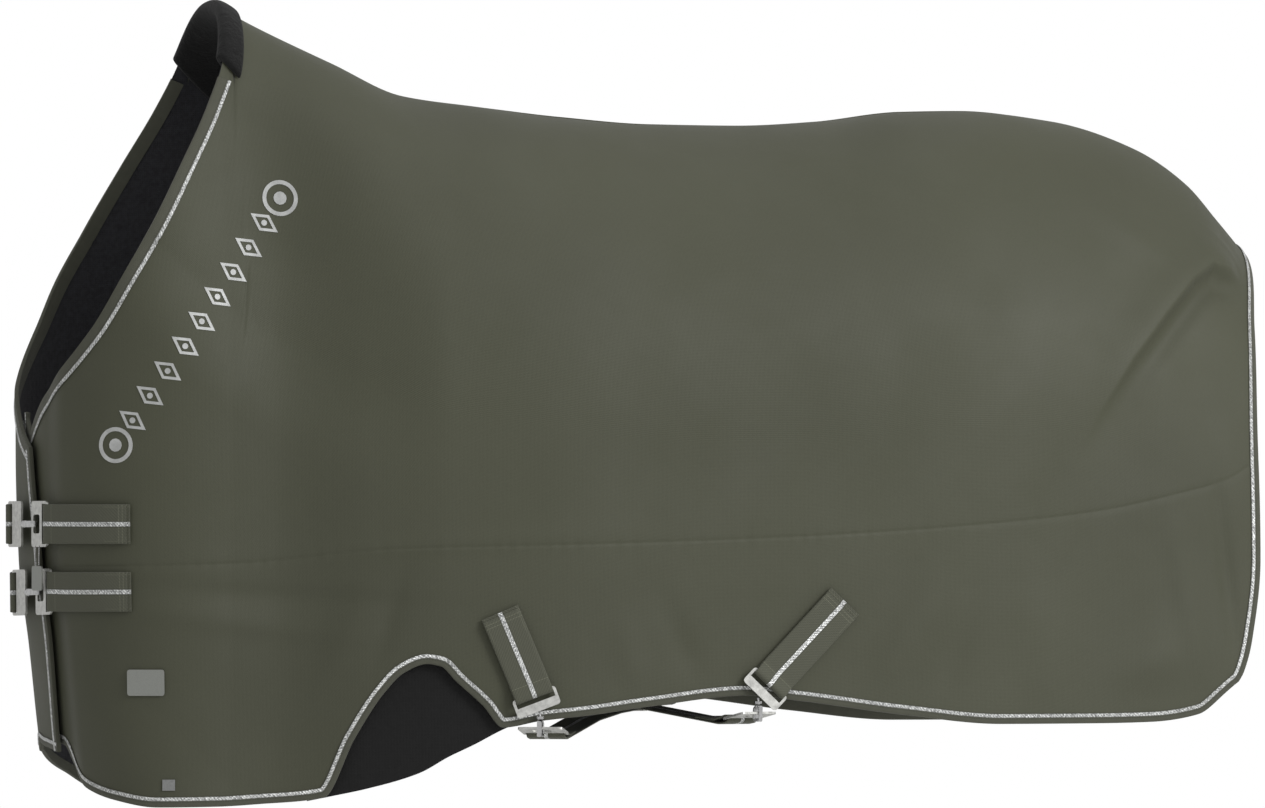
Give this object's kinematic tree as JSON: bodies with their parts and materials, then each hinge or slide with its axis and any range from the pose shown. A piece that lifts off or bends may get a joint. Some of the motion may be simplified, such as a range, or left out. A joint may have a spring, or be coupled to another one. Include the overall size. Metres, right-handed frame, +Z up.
{
  "type": "turnout rug",
  "caption": "Shaped turnout rug for a horse with a fold-back chest flap, hooked chest closures, crossed belly surcingles, shoulder gussets and a padded wither.",
  "frame": {"origin": "under the lining on the centre of the back, at the dip halfway along the rug, where the horse's back carries it", "axes": "+X towards the tail, +Y towards the horse's right (off) side, +Z up"},
  "size_m": [1.6124, 0.6035, 1.0299],
  "materials": {
    "shell": "coated weave, olive, faint sheen",
    "lining": "black mesh lining, matt",
    "gusset": "black stretch cloth, matt",
    "pad": "black fleece",
    "binding": "woven tape with a glitter edge",
    "webbing": "woven webbing with a glitter centre stripe",
    "nickel": "satin nickel",
    "chrome": "polished",
    "badge": "satin, blank",
    "label": "woven, blank"
  },
  "bodies": {
    "rug": {"left_upper_shell": "shell", "left_skirt_shell": "shell", "left_lining": "lining", "left_neck_binding": "binding", "left_front_binding": "binding", "left_hem_binding": "binding", "left_tail_binding": "binding", "right_upper_shell": "shell", "right_skirt_shell": "shell", "right_lining": "lining", "right_neck_binding": "binding", "right_hem_binding": "binding", "right_tail_binding": "binding", "wither_pad": "pad", "left_shoulder_gusset": "gusset", "right_shoulder_gusset": "gusset", "left_upper_chest_plate": "nickel", "left_lower_chest_plate": "nickel", "left_upper_chest_webbing": "webbing", "left_lower_chest_webbing": "webbing", "left_front_belly_webbing": "webbing", "left_rear_belly_webbing": "webbing", "left_front_belly_plate": "nickel", "left_rear_belly_plate": "nickel", "front_belly_swivel": "chrome", "rear_belly_swivel": "chrome", "front_belly_hook": "chrome", "rear_belly_hook": "chrome", "front_surcingle_plate": "nickel", "rear_surcingle_plate": "nickel", "front_surcingle": "webbing", "rear_surcingle": "webbing", "chest_badge_plate": "badge", "hem_label": "label"},
    "front_flap": {"right_flap_upper_shell": "shell", "right_flap_skirt_shell": "shell", "right_flap_lining": "lining", "right_flap_neck_binding": "binding", "right_flap_front_binding": "binding", "right_flap_hem_binding": "binding", "right_upper_chest_plate": "nickel", "right_lower_chest_plate": "nickel", "upper_chest_swivel": "chrome", "lower_chest_swivel": "chrome", "upper_chest_hook": "chrome", "lower_chest_hook": "chrome", "right_upper_chest_webbing": "webbing", "right_lower_chest_webbing": "webbing"},
    "hang_tag": {"hang_tag": "badge", "tag_chain_1": "chrome", "tag_chain_2": "chrome"},
    "front_gate": {"front_belly_gate": "chrome"},
    "front_adjuster": {"front_surcingle_adjuster": "nickel"},
    "rear_gate": {"rear_belly_gate": "chrome"},
    "rear_adjuster": {"rear_surcingle_adjuster": "nickel"}
  },
  "joints": [
    {"name": "front_flap_fold", "type": "hinge", "parent": "rug", "child": "front_flap", "pos_m": [-0.64282, 0.21271, -0.30233], "axis": [0, 0, -1], "range_deg": [0, 100]},
    {"name": "hang_tag_swing", "type": "hinge", "parent": "rug", "child": "hang_tag", "pos_m": [-0.79387, -0.0817, -0.53049], "axis": [-0.266, 0.964, 0], "range_deg": [0, 35]},
    {"name": "front_gate_swing", "type": "hinge", "parent": "rug", "child": "front_gate", "pos_m": [-0.19399, -0.29279, -0.75134], "axis": [-0.8902, 0.4556, 0], "range_deg": [0, 35], "stiffness_Nm_per_rad": 0.01, "springref_deg": -5.73},
    {"name": "rear_gate_swing", "type": "hinge", "parent": "rug", "child": "rear_gate", "pos_m": [0.09212, -0.29889, -0.73281], "axis": [-0.8924, -0.4513, 0], "range_deg": [0, 35], "stiffness_Nm_per_rad": 0.01, "springref_deg": -5.73},
    {"name": "front_adjuster_slide", "type": "slide", "parent": "rug", "child": "front_adjuster", "axis": [-0.462, -0.8862, -0.0354], "range_m": [-0.05, 0.07]},
    {"name": "rear_adjuster_slide", "type": "slide", "parent": "rug", "child": "rear_adjuster", "axis": [0.4538, -0.8857, 0.0977], "range_m": [-0.05, 0.07]}
  ]
}
